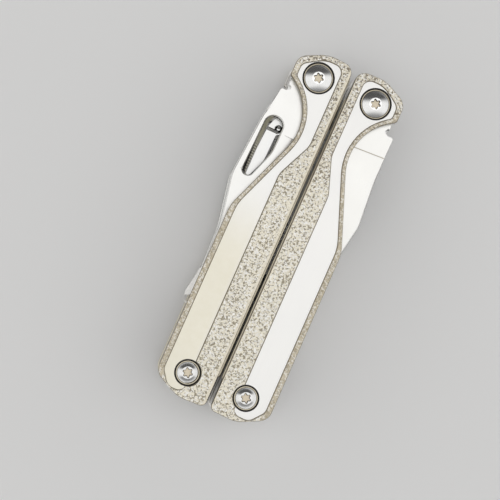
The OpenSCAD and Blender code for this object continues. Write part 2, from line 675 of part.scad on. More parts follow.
// Leaf clip in a window of the large driver, which presses on the bit
clip_w = 3.2;
clip_len = 6;
clip_t = 0.35;
clip_y = up(driver_reach - 9.6);
module clip_leaf(gap) translate([tool_x - clip_w / 2 - gap, clip_y - gap, large_high - clip_t - gap])
  cube([clip_w + 2 * gap, clip_len + 2 * gap, clip_t + 2 * gap]);
module large_driver_shape() {
  difference() {
    driver(large_bit_w + 2.2, large_low, large_high, driver_reach, large_bit_w, large_bit_t);
    clip_leaf(0.02);
  }
}

// Lanyard ring that swings out past the tail end
ring_angle = 77;
module ring_shape() {
  eye = [bolt_x, tail_bolt_y] + polar(ring_reach, ring_angle);
  waist = ring_rim + ring_hole_r - 0.6;
  difference() {
    union() {
      tool_tang(ring_low, ring_high);
      rod(eye[0], eye[1], ring_hole_r + ring_rim, ring_low, ring_high);
      translate([bolt_x, tail_bolt_y, ring_low]) rotate(ring_angle)
        translate([0, -waist, 0]) cube([ring_reach, 2 * waist, ring_t]);
    }
    tool_bore(ring_low, ring_high);
    rod(eye[0], eye[1], ring_hole_r, ring_low - over, ring_high + over);
  }
}
module tool_washers(low) {
  difference() {
    rod(bolt_x, tail_bolt_y, tool_tang_r - 0.4, low + stack_gap / 2, wall_in - stack_gap / 2);
    tool_bore(low, wall_in);
  }
}

module left_front_scale() color("#cfc8b8") front() left() scale_plate(pocket_left_x);
module left_rear_scale() color("#cfc8b8") rear() left() scale_plate(pocket_left_x);
module right_front_scale() color("#cfc8b8") front() scale_plate(pocket_right_x);
module right_rear_scale() color("#cfc8b8") rear() scale_plate(pocket_right_x);
module left_front_liner() color("#a9abad") front() left() liner_plate();
module left_rear_liner() color("#a9abad") rear() left() liner_plate();
module right_front_liner() color("#a9abad") front() liner_plate();
module right_rear_liner() color("#a9abad") rear() liner_plate();
module left_frame() color("#b9babc") front() left() frame();
module right_frame() color("#b9babc") front() frame();
module left_tail_blocks() color("#8f9194") {
  front() left() tail_block(knife_len);
  rear() left() tail_block(knife_len);
}
module right_tail_blocks() color("#8f9194") {
  front() tail_block(saw_len);
  rear() tail_block(saw_len);
}
module left_tool_spring() color("#9c9ea0") front() left() tool_spring();
module right_tool_spring() color("#9c9ea0") front() tool_spring();
module left_head_bolt() color("#c4c6ca") front() left() bolt(bolt_y, head_cap_r, head_screw_r);
module right_head_bolt() color("#c4c6ca") front() bolt(bolt_y, head_cap_r, head_screw_r);
module left_tail_bolt() color("#c4c6ca") front() left() bolt(tail_bolt_y, tail_cap_r, tail_screw_r);
module right_tail_bolt() color("#c4c6ca") front() bolt(tail_bolt_y, tail_cap_r, tail_screw_r);
module left_head_nut() color("#c4c6ca") front() left() nut(bolt_y, head_cap_r, head_barrel_r, head_screw_r);
module right_head_nut() color("#c4c6ca") front() nut(bolt_y, head_cap_r, head_barrel_r, head_screw_r);
module left_tail_nut() color("#c4c6ca") front() left()
  nut(tail_bolt_y, tail_cap_r, tail_barrel_r, tail_screw_r);
module right_tail_nut() color("#c4c6ca") front()
  nut(tail_bolt_y, tail_cap_r, tail_barrel_r, tail_screw_r);
module left_tool_washers() color("#b59a5c") front() left() tool_washers(arm_low - stack_gap);
module right_tool_washers() color("#b59a5c") front() tool_washers(ring_high);
module knife() color("#e3e4e6") front() left() knife_shape();
module serrated_knife() color("#dcdde0") rear() left() serrated_shape();
module saw() color("#e3e4e6") front() saw_shape();
module file() color("#d2d3d6") rear() file_shape();
module left_sleeve() color("#b59a5c") front() left() pivot_sleeve();
module right_sleeve() color("#b59a5c") front() pivot_sleeve();
module jaw_a() color("#bfc1c4") front() jaw_body();
module jaw_b() color("#bfc1c4") front() rotate([0, 180, 0]) jaw_body();
module plier_rivet() color("#9a9ca0") front() rivet();
module scissor_blade() color("#d6d7da") front() left() scissor_blade_shape();
module scissor_arm() color("#d6d7da") front() left() scissor_arm_shape();
module scissor_rivet() color("#9a9ca0") front() left() scissor_rivet_shape();
module scissor_spring() color("#9c9ea0") front() left() scissor_spring_shape();
module small_driver() color("#c9cacd") front() left()
  driver(small_bit_w + 2, small_low, small_high, driver_reach, small_bit_w, small_bit_t);
module small_bit() color("#8f9194") front() left()
  bit(driver_reach, small_low, small_high, small_bit_w, small_bit_t);
module large_driver() color("#c9cacd") front() large_driver_shape();
module large_bit() color("#8f9194") front()
  bit(driver_reach, large_low, large_high, large_bit_w, large_bit_t);
module bit_clip() color("#9c9ea0") front() clip_leaf(0);
module opener() color("#cfd0d3") front() opener_shape();
module lanyard_ring() color("#a9abad") front() ring_shape();

left_front_scale();
left_rear_scale();
right_front_scale();
right_rear_scale();
left_front_liner();
left_rear_liner();
right_front_liner();
right_rear_liner();
left_frame();
right_frame();
left_tail_blocks();
right_tail_blocks();
left_tool_spring();
right_tool_spring();
left_head_bolt();
left_head_nut();
right_head_bolt();
right_head_nut();
left_tail_bolt();
left_tail_nut();
right_tail_bolt();
right_tail_nut();
left_tool_washers();
right_tool_washers();
knife();
serrated_knife();
saw();
file();
left_sleeve();
right_sleeve();
jaw_a();
jaw_b();
plier_rivet();
scissor_blade();
scissor_arm();
scissor_rivet();
scissor_spring();
small_driver();
small_bit();
large_driver();
large_bit();
bit_clip();
opener();
lanyard_ring();
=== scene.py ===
"""A folding plier multi tool, closed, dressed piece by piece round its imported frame.

Lengths are in millimetres and become metres where a mesh or a node needs them. The seam between the
handles is x = 0, the head end is +Y and the front scales face +Z.
"""
import json
import math

import bmesh
import bpy
from mathutils import Matrix, Vector
from mathutils.geometry import tessellate_polygon


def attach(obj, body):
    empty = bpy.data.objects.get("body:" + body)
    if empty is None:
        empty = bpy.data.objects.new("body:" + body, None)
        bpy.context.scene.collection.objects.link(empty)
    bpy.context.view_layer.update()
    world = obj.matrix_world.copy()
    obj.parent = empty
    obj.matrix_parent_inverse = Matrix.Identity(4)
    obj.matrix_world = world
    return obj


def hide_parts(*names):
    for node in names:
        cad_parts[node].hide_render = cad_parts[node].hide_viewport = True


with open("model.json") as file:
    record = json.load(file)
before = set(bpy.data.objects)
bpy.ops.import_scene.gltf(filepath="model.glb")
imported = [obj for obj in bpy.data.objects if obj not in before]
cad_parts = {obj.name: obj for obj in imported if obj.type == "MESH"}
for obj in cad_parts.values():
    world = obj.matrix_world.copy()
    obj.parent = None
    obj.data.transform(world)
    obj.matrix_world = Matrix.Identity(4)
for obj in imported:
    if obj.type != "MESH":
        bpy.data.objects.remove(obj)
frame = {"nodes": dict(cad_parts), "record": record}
bpy.context.view_layer.update()

MM = 0.001
METRE = 1000
body_of = {node: body
           for body, nodes in frame["record"]["behaviour"]["bodies"].items()
           for node in nodes}


# ---------------------------------------------------------------- titanium scales
# Four pressed titanium scales cover the handles, two in front and two behind. Each has a raised
# border with a hammered grain, a smooth bead-blasted pocket and a counterbore for each bolt.


class Value:
    """A shader socket that Python operators can be used on. Each operator adds one Math node."""

    def __init__(self, wiring, socket):
        self.wiring = wiring
        self.socket = socket

    def math(self, operation, *others):
        values = dict(enumerate((self, *others)))
        return self.wiring.node("ShaderNodeMath", {"operation": operation}, values)

    def __add__(self, other):
        return self.math("ADD", other)

    def __sub__(self, other):
        return self.math("SUBTRACT", other)

    def __rsub__(self, other):
        return self.math("MULTIPLY_ADD", -1, other)

    def __mul__(self, other):
        return self.math("MULTIPLY", other)

    __radd__ = __add__
    __rmul__ = __mul__


class Wiring:
    """A node tree under construction: nodes are added by type, with their settings and inputs."""

    def __init__(self, tree):
        self.tree = tree

    def node(self, kind, settings=None, inputs=None, out=0):
        made = self.tree.nodes.new(kind)
        for key, value in (settings or {}).items():
            setattr(made, key, value)
        for key, value in (inputs or {}).items():
            self.plug(made.inputs[key], value)
        return Value(self, made.outputs[out])

    def plug(self, socket, value):
        if isinstance(value, Value):
            self.tree.links.new(value.socket, socket)
        elif isinstance(value, tuple) and len(value) == 3 and socket.type == "RGBA":
            socket.default_value = (*value, 1)
        else:
            socket.default_value = value

    def step(self, value, low, high, at_low=0.0, at_high=1.0):
        """at_low where the value is low, at_high where it is high and smooth between them."""
        inputs = {"Value": value, "From Min": low, "From Max": high,
                  "To Min": at_low, "To Max": at_high}
        return self.node("ShaderNodeMapRange", {"interpolation_type": "SMOOTHSTEP"}, inputs)


class Finish(Wiring):
    """A material that changes with the place on the piece."""

    def __init__(self, name, metallic=1.0):
        self.material = bpy.data.materials.new(name)
        self.material.use_nodes = True
        super().__init__(self.material.node_tree)
        self.shader = self.tree.nodes["Principled BSDF"]
        self.shader.inputs["Metallic"].default_value = metallic
        self.place = self.node("ShaderNodeTexCoord", out="Object")

    def axes(self):
        """Place on the piece along x, y and z, in millimetres."""
        split = self.node("ShaderNodeSeparateXYZ", inputs={0: self.place})
        return [Value(self, output) * METRE for output in split.socket.node.outputs]

    def noise(self, size, detail=2.0, stretch=(1, 1, 1), distortion=0.0):
        """Soft noise with lumps about size millimetres across, longer where stretch is larger."""
        scale = tuple(METRE / (size * s) for s in stretch)
        multiply = {"operation": "MULTIPLY"}
        where = self.node("ShaderNodeVectorMath", multiply, {0: self.place, 1: scale})
        inputs = {"Vector": where, "Scale": 1.0, "Detail": detail, "Distortion": distortion}
        return self.node("ShaderNodeTexNoise", inputs=inputs)

    def blend(self, share, first, second):
        """first where share is 0 and second where it is 1."""
        settings = {"data_type": "RGBA"}
        return self.node("ShaderNodeMix", settings, {0: share, 6: first, 7: second}, out=2)

    def relief(self, height):
        """Bumps whose height is given in millimetres."""
        inputs = {"Height": height, "Strength": 1.0, "Distance": MM}
        self.plug(self.shader.inputs["Normal"], self.node("ShaderNodeBump", inputs=inputs))

    def colour(self, value):
        self.plug(self.shader.inputs["Base Color"], value)

    def roughness(self, value):
        self.plug(self.shader.inputs["Roughness"], value)


CUT_CENTRE = (22.8, 28.2)
CUT_R = 15
FLANK_ANGLE = math.radians(20.9)
FLANK_FOOT = (8.8, 22.85)
# Each pair of places is where a change of finish begins and where it is complete
ARC_BORDER = (1.9, 1.4)
FLANK_BORDER = (-1.7, -1.3)
FLANK_TOP = (26, 22)
SIDE_BORDER = (14.3, 14.7)
SIDE_TOP = (12, 4)
SEAM_SHEEN_LEFT = (-1.75, -1.4)
SEAM_SHEEN_RIGHT = (1.25, 1.0)
PAINTED_LIGHT_LOW = (30, 8)
REFLECTION_ACROSS = (-6, -9)
REFLECTION_ALONG = (14, -14)
BLACK = (0.012, 0.011, 0.010)


def distance(x, y):
    return (x * x + y * y).math("SQRT")


def hammered_titanium():
    finish = Finish("hammered_titanium")
    x, y, _ = finish.axes()
    side = x.math("ABSOLUTE")
    # The narrow border is nearly smooth. It goes round the thumb cut's arc, down the cut's flank
    # and on along the outer side of the handle.
    to_arc = distance(side - CUT_CENTRE[0], y - CUT_CENTRE[1]) - CUT_R
    to_flank = ((side - FLANK_FOOT[0]) * math.cos(FLANK_ANGLE)
                + (y - FLANK_FOOT[1]) * math.sin(FLANK_ANGLE))
    by_arc = finish.step(to_arc, *ARC_BORDER)
    by_flank = finish.step(to_flank, *FLANK_BORDER) * finish.step(y, *FLANK_TOP)
    by_side = finish.step(side, *SIDE_BORDER) * finish.step(y, *SIDE_TOP)
    narrow = by_arc.math("MAXIMUM", by_flank).math("MAXIMUM", by_side)
    # Along the seam the edge has fewer pits and is painted lighter as the highlight on its rounded
    # arris, further in on the left handle than on the right
    smoother_lighter = finish.step(x, *SEAM_SHEEN_LEFT) * finish.step(x, *SEAM_SHEEN_RIGHT)
    strength = (1 - narrow * 0.35) * (1 - smoother_lighter * 0.8)
    pits = finish.step(finish.noise(0.58, 1.5, distortion=0.8), 0.53, 0.61) * strength
    # Painted highlight: raised flecks are painted near white as glints on the hammered facets
    glint_flecks = finish.step(finish.noise(0.42, 1.0, stretch=(1.3, 1, 1)), 0.47, 0.6) * strength
    grain = finish.noise(0.15, 2)
    # Painted light: the ground and the pits are painted lighter low on the tool and darker towards
    # the head, as the light falls
    painted_light_low = finish.step(y, *PAINTED_LIGHT_LOW)
    ground = finish.blend(painted_light_low, (0.81, 0.755, 0.63), (0.90, 0.85, 0.72))
    ground = finish.blend(narrow, ground, (0.62, 0.555, 0.43))
    ground = finish.blend(smoother_lighter, ground, (0.84, 0.78, 0.64))
    colour = finish.blend(glint_flecks * 0.9, ground, (0.99, 0.975, 0.94))
    pitted = finish.blend(painted_light_low, (0.24, 0.20, 0.145), (0.38, 0.33, 0.235))
    colour = finish.blend(pits * 0.85, colour, pitted)
    colour = finish.blend(finish.step(grain, 0.5, 0.75) * 0.25, colour, (0.46, 0.41, 0.31))
    finish.colour(colour)
    finish.roughness(0.4 + pits * 0.15)
    finish.relief(grain * 0.014 + glint_flecks * 0.03 - pits * 0.05)
    return finish.material


def painted_shade_titanium():
    """Painted shade for edges and steps: a dark brown where shade falls between the parts."""
    finish = Finish("painted_shade_titanium")
    grain = finish.noise(0.3, 2)
    finish.colour(finish.blend(grain, (0.26, 0.23, 0.175), (0.38, 0.34, 0.265)))
    finish.roughness(0.5 + grain * 0.1)
    finish.relief(grain * 0.01)
    return finish.material


def blasted_titanium():
    """The pocket, with a painted warm reflection that yellows it a little low down on the left."""
    finish = Finish("blasted_titanium")
    grain = finish.noise(0.12, 2)
    streaks = finish.noise(0.25, 3, stretch=(1, 40, 1))
    clouds = finish.noise(9, 2)
    mottle = finish.noise(1.6, 3)
    x, y, _ = finish.axes()
    # Painted reflection: a warm, mottled tint low down on the left
    warm_reflection = finish.step(x, *REFLECTION_ACROSS) * finish.step(y, *REFLECTION_ALONG)
    colour = finish.blend(clouds, (0.985, 0.98, 0.96), (0.995, 0.99, 0.975))
    reflection_tint = finish.blend(mottle, (0.93, 0.895, 0.78), (0.88, 0.84, 0.70))
    colour = finish.blend(warm_reflection, colour, reflection_tint)
    colour = finish.blend(streaks * 0.1, colour, (0.70, 0.68, 0.64))
    finish.colour(colour)
    finish.roughness(0.34 + grain * 0.08 + clouds * 0.05)
    finish.relief(grain * 0.006 + streaks * 0.004)
    return finish.material


# Corners so close are one corner, faces so nearly level are one face, and a slit so thin is closed
SAME_SPOT = 0.001
SAME_PLANE = 0.002
FLAT = 0.999999
HAIR = 0.025
# How far the surface turns over an edge to be rounded, one too acute for that, and a needle's
SHARP = math.radians(24)
ACUTE = math.radians(125)
NEEDLE = math.radians(174)


def corners_over(bm, angle):
    """The ends of the edges at which the surface turns by more than the angle."""
    return {vertex for edge in bm.edges
            if edge.is_manifold and edge.calc_face_angle() > angle
            for vertex in edge.verts}


def solid_of(node):
    """The node's solid as an editable mesh in which every flat face is one face."""
    bm = bmesh.new()
    bm.from_mesh(frame["nodes"][node].data)
    bmesh.ops.remove_doubles(bm, verts=bm.verts, dist=SAME_SPOT * MM)
    bmesh.ops.dissolve_limit(bm, angle_limit=SAME_PLANE, verts=bm.verts, edges=bm.edges)
    # A needle, where a wall turns back on itself, is closed by drawing its ends to the next corners
    needles = corners_over(bm, NEEDLE)
    moves = {}
    for vertex in needles:
        beside = [edge for edge in vertex.link_edges if edge.other_vert(vertex) not in needles]
        moves[vertex] = min(beside, key=bmesh.types.BMEdge.calc_length).other_vert(vertex)
    bmesh.ops.weld_verts(bm, targetmap=moves)
    return bm


def soften(bm, width, where=lambda x, y, z: True, segments=2, material=-1):
    """Rounds the sharp edges whose middle, in millimetres, is where it should be.

    The rounding takes the material with that index, or the one beside it. Edges that run into an
    acute corner stay sharp, as the rounding would overshoot there."""
    acute = corners_over(bm, ACUTE)
    chosen = []
    for edge in bm.edges:
        middle = (edge.verts[0].co + edge.verts[1].co) / 2 / MM
        sharp = edge.is_manifold and edge.calc_face_angle() > SHARP
        if sharp and acute.isdisjoint(edge.verts) and where(*middle):
            chosen.append(edge)
    levels = {face.verts[0].co.z for face in bm.faces if abs(face.normal.z) > FLAT}
    bmesh.ops.bevel(bm, geom=chosen, offset=width * MM, offset_type="OFFSET", profile=0.5,
                    segments=segments, affect="EDGES", clamp_overlap=False, material=material)
    # Where a rounding ends, its last corners can lie a hair off the level face. They go back on it.
    for vertex in bm.verts:
        near = min(levels, key=lambda level: abs(level - vertex.co.z))
        if abs(near - vertex.co.z) < HAIR * MM:
            vertex.co.z = near


CREASE = math.radians(50)


def flat_regions(bm):
    """Groups the faces that lie in one plane beside each other."""
    bm.normal_update()
    loose = set(bm.faces)
    for first in list(bm.faces):
        if first not in loose:
            continue
        loose.remove(first)
        region = [first]
        for face in region:
            for edge in face.edges:
                for other in edge.link_faces:
                    if other in loose and abs(other.normal.dot(face.normal)) > FLAT:
                        loose.remove(other)
                        region.append(other)
        yield region


def outlines_of(region):
    """The closed loops of corners round a region and round its holes."""
    inside = set(region)
    border = [edge for face in region for edge in face.edges
              if len(inside.intersection(edge.link_faces)) == 1]
    onward = {}
    for edge in border:
        for vertex in edge.verts:
            onward.setdefault(vertex, []).append(edge)
    unused = dict.fromkeys(border)
    while unused:
        edge = next(iter(unused))
        del unused[edge]
        loop = [edge.verts[0]]
        corner = edge.verts[1]
        while corner is not loop[0]:
            loop.append(corner)
            edge = next(found for found in onward[corner] if found in unused)
            del unused[edge]
            corner = edge.other_vert(corner)
        yield loop


def refill(bm):
    """Fills the flat regions anew, as rounding can leave edges inside them crossed.

    What it leaves over, loose edges, loose corners and slits a hair wide, is cleared away."""
    regions = [region for region in flat_regions(bm)
               if len(region) > 1 or len(region[0].verts) > 4]
    for region in regions:
        loops = list(outlines_of(region))
        corners = [corner for loop in loops for corner in loop]
        triangles = tessellate_polygon([[corner.co / MM for corner in loop] for loop in loops])
        material = max(region, key=bmesh.types.BMFace.calc_area).material_index
        bmesh.ops.delete(bm, geom=region, context="FACES_ONLY")
        for triangle in triangles:
            picked = [corners[index] for index in triangle]
            if len(set(picked)) == 3 and not bm.faces.get(picked):
                bm.faces.new(picked).material_index = material
    spare = [edge for edge in bm.edges if not edge.link_faces]
    bmesh.ops.delete(bm, geom=spare, context="EDGES")
    rim = [vertex for vertex in bm.verts if vertex.is_boundary]
    bmesh.ops.remove_doubles(bm, verts=rim, dist=HAIR * MM)
    bmesh.ops.holes_fill(bm, edges=[edge for edge in bm.edges if edge.is_boundary], sides=0)
    spare = [vertex for vertex in bm.verts if not vertex.link_faces]
    bmesh.ops.delete(bm, geom=spare, context="VERTS")
    bmesh.ops.recalc_face_normals(bm, faces=bm.faces)


def fan_normals(vertex, weight):
    """For each face at the vertex, the mean normal of the faces it blends into there."""
    loose = set(vertex.link_faces)
    found = {}
    while loose:
        fan = [loose.pop()]
        for face in fan:
            for edge in face.edges:
                if edge.smooth and vertex in edge.verts:
                    for other in loose.intersection(edge.link_faces):
                        loose.remove(other)
                        fan.append(other)
        mean = sum((face.normal * weight[face] for face in fan), Vector())
        found.update({face: mean.normalized() for face in fan})
    return found


def even_normals(bm):
    """Corner normals that leave flat regions flat and let the rounded edges blend into them."""
    weight = {}
    for region in flat_regions(bm):
        area = sum(face.calc_area() for face in region)
        weight.update({face: area for face in region})
    at = {vertex: fan_normals(vertex, weight) for vertex in bm.verts}
    return [at[corner.vert][face] for face in bm.faces for corner in face.loops]


def piece(name, bm, node, slot, *materials):
    """Turns the mesh into the piece that stands for the node and rides on its body."""
    refill(bm)
    for face in bm.faces:
        face.smooth = True
    for edge in bm.edges:
        edge.smooth = edge.is_manifold and edge.calc_face_angle() < CREASE
    normals = even_normals(bm)
    mesh = bpy.data.meshes.new(name)
    bm.to_mesh(mesh)
    bm.free()
    mesh.normals_split_custom_set(normals)
    for material in materials:
        mesh.materials.append(material)
    made = bpy.data.objects.new(name, mesh)
    bpy.context.scene.collection.objects.link(made)
    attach(made, body_of[node])
    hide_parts(node)


HALF_T = 10.2
POCKET_DEPTH = 0.45
BOLT_X = 8.6
BOLT_Y = 43.9
BORE_R = 4.7
BORE_DEPTH = 1.2
RIM_ROUND = 0.3
STEP_ROUND = 0.12
STEP_REACH = 1
BORE_ROUND = 0.1
NEAR = 0.05
UPRIGHT = 0.5
SCALE_POCKET, SCALE_BORE, SCALE_WALL = 1, 2, 3


def depth(z):
    """How deep a place lies under the tool's outer faces, which are HALF_T from its middle."""
    return HALF_T - abs(z - HALF_T)


def near_bolt(x, y):
    return math.hypot(abs(x) - BOLT_X, abs(y) - BOLT_Y) < BORE_R


def scale(node):
    """Painted shade: the counterbores are black, the walls and foot of the pocket's step dark."""
    bm = solid_of(node)
    for face in bm.faces:
        middle = face.calc_center_median() / MM
        if depth(middle.z) > POCKET_DEPTH - NEAR:
            face.material_index = SCALE_POCKET
        if abs(face.normal.z) < UPRIGHT:
            face.material_index = SCALE_WALL
        in_bore = POCKET_DEPTH + NEAR < depth(middle.z) < BORE_DEPTH
        if in_bore and near_bolt(middle.x, middle.y):
            face.material_index = SCALE_BORE
    soften(bm, RIM_ROUND, lambda x, y, z: depth(z) < NEAR, 3)
    soften(bm, STEP_ROUND, lambda x, y, z: NEAR < depth(z) < STEP_REACH and not near_bolt(x, y),
           material=SCALE_WALL)
    soften(bm, BORE_ROUND, lambda x, y, z: depth(z) < POCKET_DEPTH + NEAR and near_bolt(x, y))
    piece(node + "_plate", bm, node, "titanium", hammered, blasted, black_shade, dark)


# Painted shade: near black, for gaps, grooves and hole walls where shade falls
def painted_black_shade():
    finish = Finish("painted_black_shade", metallic=0.4)
    shade_mottle = finish.noise(0.3, 3)
    finish.colour(finish.blend(shade_mottle, BLACK, (0.06, 0.055, 0.05)))
    finish.roughness(0.5 + shade_mottle * 0.2)
    finish.relief(shade_mottle * 0.02)
    return finish.material


hammered = hammered_titanium()
blasted = blasted_titanium()
black_shade = painted_black_shade()
dark = painted_shade_titanium()
for node in ["left_front_scale", "left_rear_scale", "right_front_scale", "right_rear_scale"]:
    scale(node)


# ---------------------------------------------------------------- liners
# A spring-steel liner lies under each scale, blanked, tumbled and left satin. Its slotted arm
# snaps behind the tang of the open blade and locks it. Along the seam its edge stands out of the
# handle as a tan strip, painted lighter against the shade of the seam, and its side walls are
# painted dark as shade.


def satin_steel(name, tint, roughness, length=(1, 30, 1), scratch=0.1):
    """Steel ground along one way: its scratches are long where length is large."""
    finish = Finish(name)
    lines = finish.noise(0.07, 3, stretch=length)
    clouds = finish.noise(7, 3)
    specks = finish.step(finish.noise(0.35, 2), 0.68, 0.76)
    colour = finish.blend(lines * (scratch * 2), tint, (0.60, 0.58, 0.54))
    colour = finish.blend(specks * 0.25, colour, (0.42, 0.40, 0.37))
    finish.colour(colour)
    finish.roughness(roughness + lines * 0.1 + clouds * 0.06 - 0.08)
    finish.relief(lines * (scratch * 0.08))
    return finish.material


def steel_part(node, slot, material, edge=0.1, segments=2):
    bm = solid_of(node)
    soften(bm, edge, segments=segments)
    piece(node + "_finished", bm, node, slot, material)


SEAM = 0.75
LINER_LOW = 7.75
LINER_HIGH = 8.65
LINER_ROUND = 0.08
LIP_ROOT = 0.4
LIP_CHAMFER = 0.12
LIP_SLOPE = 1
LIP_LOW = -42
LIP_HIGH = 42.5
LIP_TOP = 48
# How far the strip stands out of each handle, and out of the left one above LIP_HIGH
LEFT_STAND = 0.5
RIGHT_STAND = 0.4
TOP_STAND = 0.33
TAN_LOWER = (24, 6)
TAN_HEAD = (36, 43)
LINER_EDGE, LINER_LIP = 1, 2


def seam_lip(bm, side, face, stand):
    """A strip along the liner's edge that stands into the seam, with its ends cut back.

    On the left it goes on past the head bolt, low enough to clear the right handle on opening."""
    cuts = [(LIP_LOW, 0), (LIP_LOW + LIP_SLOPE, stand), (LIP_HIGH - LIP_SLOPE, stand)]
    if side < 0:
        cuts += [(LIP_HIGH, TOP_STAND), (LIP_TOP - LIP_SLOPE, TOP_STAND), (LIP_TOP, 0)]
    else:
        cuts += [(LIP_HIGH, 0)]
    root = SEAM + LIP_ROOT
    rows = []
    for y, out in cuts:
        tip = SEAM - out
        across = [(root, LINER_LOW), (tip, LINER_LOW), (tip, LINER_HIGH - LIP_CHAMFER),
                  (tip + LIP_CHAMFER, LINER_HIGH), (root, LINER_HIGH)]
        points = [(side * x, y, HALF_T + face * z) for x, z in across]
        rows.append([bm.verts.new(Vector(point) * MM) for point in points])
    for first, second in zip(rows, rows[1:]):
        for corner in range(len(first)):
            after = (corner + 1) % len(first)
            strip = bm.faces.new((first[corner], first[after], second[after], second[corner]))
            strip.material_index = LINER_LIP
    bm.faces.new(rows[0])
    bm.faces.new(rows[-1][::-1])


def lightened_lip():
    """Tan, painted lighter against the seam's shade: full tan low on the tool, darker from the
    middle up and half tan again at the head.
    """
    finish = Finish("lightened_lip")
    _, y, _ = finish.axes()
    grain = finish.noise(0.4, 2)
    tan = finish.blend(grain, (0.62, 0.565, 0.44), (0.74, 0.68, 0.54))
    tan_share = finish.step(y, *TAN_LOWER).math("MAXIMUM", finish.step(y, *TAN_HEAD) * 0.5)
    finish.colour(finish.blend(tan_share, (0.42, 0.37, 0.28), tan))
    finish.roughness(0.38 + grain * 0.1)
    finish.relief(grain * 0.01)
    return finish.material


def liner(node, side, face, stand):
    bm = solid_of(node)
    for found in bm.faces:
        # The side walls take the painted dark shade
        found.material_index = LINER_EDGE if abs(found.normal.z) < UPRIGHT else 0
    soften(bm, LINER_ROUND)
    seam_lip(bm, side, face, stand)
    piece(node + "_finished", bm, node, "liner_steel", liner_steel, dark, lip_tan)


liner_steel = satin_steel("liner_steel", (0.62, 0.61, 0.60), 0.4)
lip_tan = lightened_lip()
for side, sign, stand in [("left", -1, LEFT_STAND), ("right", 1, RIGHT_STAND)]:
    liner(f"{side}_front_liner", sign, 1, stand)
    liner(f"{side}_rear_liner", sign, -1, stand)


# ---------------------------------------------------------------- handle frames
# Each handle is a folded channel of stainless sheet, with steel blocks riveted in behind the
# blades' tips and a leaf spring on its web for the inner tools. A ball in the left front wall
# holds the closed knife and shows through its thumb hole.

frame_steel = satin_steel("frame_steel", (0.70, 0.69, 0.67), 0.36, length=(1, 20, 20))
block_steel = satin_steel("block_steel", (0.52, 0.52, 0.52), 0.45)
spring_steel = satin_steel("spring_steel", (0.50, 0.50, 0.51), 0.32)
DETENT = (-12.8, 27.2)
BLACK_RING_EDGE = (1.25, 0.95)
BALL_EDGE = (0.36, 0.48)
WINDOW_X = 10.8
WINDOW_Y = (10, 31)
FRAME_ROUND = 0.12
FRAME_SHADE, FRAME_FACE = 1, 2


def painted_light_window_steel():
    """The wall seen through the thumb hole, painted lighter than the frame steel as light on it,
    with a black ring round the detent ball.
    """
    finish = Finish("painted_light_window_steel")
    x, y, _ = finish.axes()
    lines = finish.noise(0.07, 3, stretch=(1, 20, 20))
    ragged = finish.noise(0.8, 2) * 0.5 - 0.25
    away = distance(x - DETENT[0], y - DETENT[1]) + ragged
    black_ring = finish.step(away, *BLACK_RING_EDGE) * finish.step(away, *BALL_EDGE)
    colour = finish.blend(lines * 0.15, (0.93, 0.93, 0.92), (0.70, 0.69, 0.67))
    finish.colour(finish.blend(black_ring, colour, BLACK))
    finish.roughness(0.3 + lines * 0.08 + black_ring * 0.2)
    finish.relief(lines * 0.006)
    return finish.material


window = painted_light_window_steel()


def frame_channel(node):
    """Painted shade: the window's edges behind the thumb hole are black. Painted light: the front
    flats are lighter.
    """
    bm = solid_of(node)
    for face in bm.faces:
        middle = face.calc_center_median() / MM
        in_window = abs(middle.x) > WINDOW_X and WINDOW_Y[0] < middle.y < WINDOW_Y[1]
        if in_window and abs(face.normal.z) < UPRIGHT:
            face.material_index = FRAME_SHADE
        elif middle.z > HALF_T and abs(face.normal.z) > FLAT:
            face.material_index = FRAME_FACE
    soften(bm, FRAME_ROUND)
    piece(node + "_finished", bm, node, "frame_steel", frame_steel, black_shade, window)


for side in ["left", "right"]:
    frame_channel(side + "_frame")
    steel_part(side + "_tail_blocks", "frame_steel", block_steel, 0.15)
    steel_part(side + "_tool_spring", "frame_steel", spring_steel, 0.1)


# ---------------------------------------------------------------- bolts and nuts
# Every handle is clamped by two polished button screws from the front into barrel nuts from the
# rear. Both have a domed head with a six-lobe socket and, round the dome, a groove painted black
# as shade and a bead in the seam strip's tan. The socket's wall is painted black as shade and its
# floor a bright beige, as painted light.

CROWN_DROP = 0.1
FLAT_R = 1.56
DOME_DROP = 0.62
DOME_STEPS = 8
FLANGE = 0.56
# From the dome outwards: inset from the head's radius, and drop below the foot of the dome
FLANGE_STEPS = [(FLANGE + 0.02, 0.12), (0.46, 0.12), (0.44, 0.03),
                (0.2, 0.03), (0.14, 0.12), (0, 0.2)]
SOCKET_R = 1.2
LOBE = 0.24
SOCKET_DEPTH = 0.7
SOCKET_TAPER = 0.16
SOCKET_BRIM = 0.06
SEAT = 9.2
SCREW_DEEP = 5
END_CHAMFER = 0.15
THREAD_GAP = 0.03
BARREL_GAP = 0.05
TURNS = 96
BOLT_SHADE, BOLT_SOCKET, BOLT_BEAD = 1, 2, 3
# Which end, place along the tool, and radii of the head, of the nut's barrel and of the screw
BOLTS = [("head", BOLT_Y, 4.2, 2.7, 1.9), ("tail", -BOLT_Y, 3.4, 2.2, 1.5)]


def polished_steel():
    finish = Finish("polished_bolt")
    smear = finish.noise(1.6, 3)
    hairs = finish.noise(0.05, 2, stretch=(1, 9, 1))
    finish.colour(finish.blend(smear, (0.90, 0.90, 0.895), (0.80, 0.80, 0.79)))
    finish.roughness(0.1 + smear * 0.14)
    finish.relief(hairs * 0.0012)
    return finish.material


# Painted light: the socket floor is a bright beige, as light falling into the socket
def lit_socket_steel():
    finish = Finish("painted_light_socket")
    smear = finish.noise(0.9, 2)
    finish.colour(finish.blend(smear, (0.86, 0.74, 0.62), (0.76, 0.70, 0.52)))
    finish.roughness(0.4 + smear * 0.1)
    finish.relief(smear * 0.02)
    return finish.material


